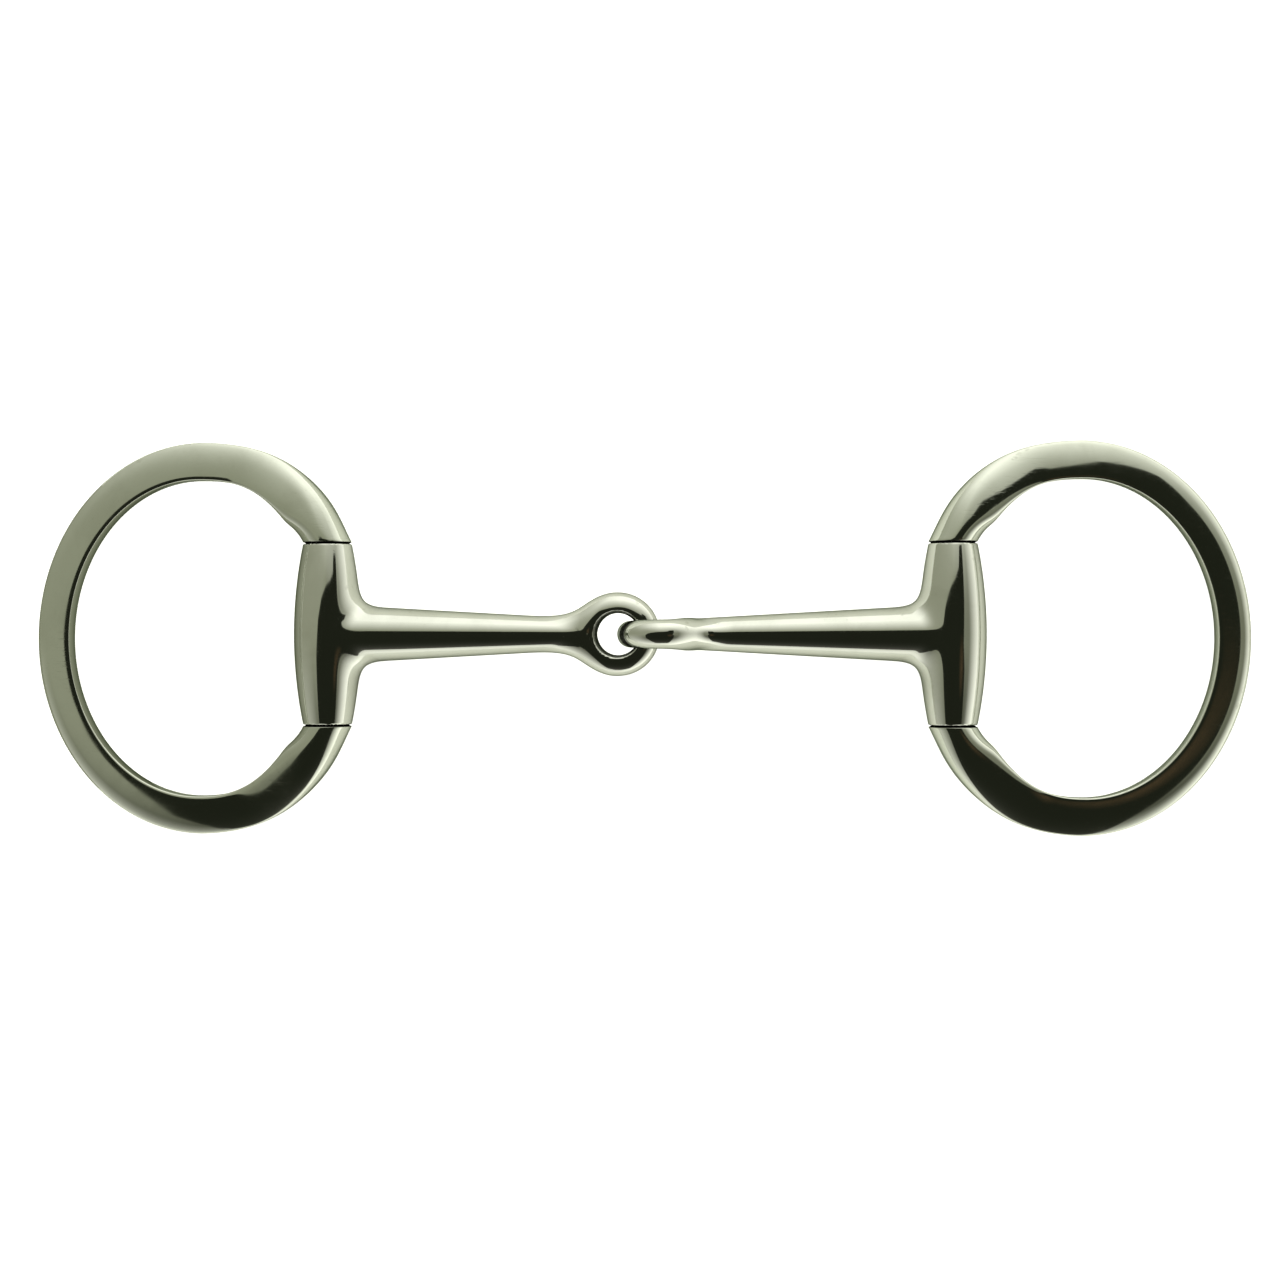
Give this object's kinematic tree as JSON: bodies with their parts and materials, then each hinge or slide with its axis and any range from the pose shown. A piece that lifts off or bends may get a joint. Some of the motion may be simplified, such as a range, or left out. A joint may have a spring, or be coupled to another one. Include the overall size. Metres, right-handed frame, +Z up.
{
  "type": "eggbutt snaffle bit",
  "caption": "Single-jointed eggbutt snaffle bit: two tapered arms linked eye to eye, with flat oval cheek rings pivoting in olive-shaped barrels.",
  "frame": {"origin": "on the surface that the bit lies on, under the middle of the link between the two eyes", "axes": "+X along the mouthpiece from the left barrel to the right barrel, +Y along the barrels towards the upper pins, +Z up from the surface"},
  "size_m": [0.2738, 0.0884, 0.0187],
  "materials": {
    "cannon_steel": "polished stainless steel with fine wear scratches",
    "ring_steel": "polished stainless steel with fine rein-wear scratches and smudges",
    "pin_steel": "turned stainless steel, dull in the seams"
  },
  "bodies": {
    "left_cannon": {"left_cannon": "cannon_steel"},
    "right_cannon": {"right_cannon": "cannon_steel"},
    "left_ring": {"left_cheek_ring": "ring_steel", "left_upper_pin": "pin_steel", "left_lower_pin": "pin_steel"},
    "right_ring": {"right_cheek_ring": "ring_steel", "right_upper_pin": "pin_steel", "right_lower_pin": "pin_steel"}
  },
  "joints": [
    {"name": "mouth_fold", "type": "hinge", "parent": "left_cannon", "child": "right_cannon", "pos_m": [0.00297, 0, 0.00955], "axis": [0, -1, 0], "range_deg": [-75, 75]},
    {"name": "left_ring_swing", "type": "hinge", "parent": "left_cannon", "child": "left_ring", "pos_m": [-0.07005, 0, 0.0075], "axis": [0, 1, 0], "range_deg": [-100, 100]},
    {"name": "right_ring_swing", "type": "hinge", "parent": "right_cannon", "child": "right_ring", "pos_m": [0.07005, 0, 0.0075], "axis": [0, -1, 0], "range_deg": [-100, 100]}
  ]
}
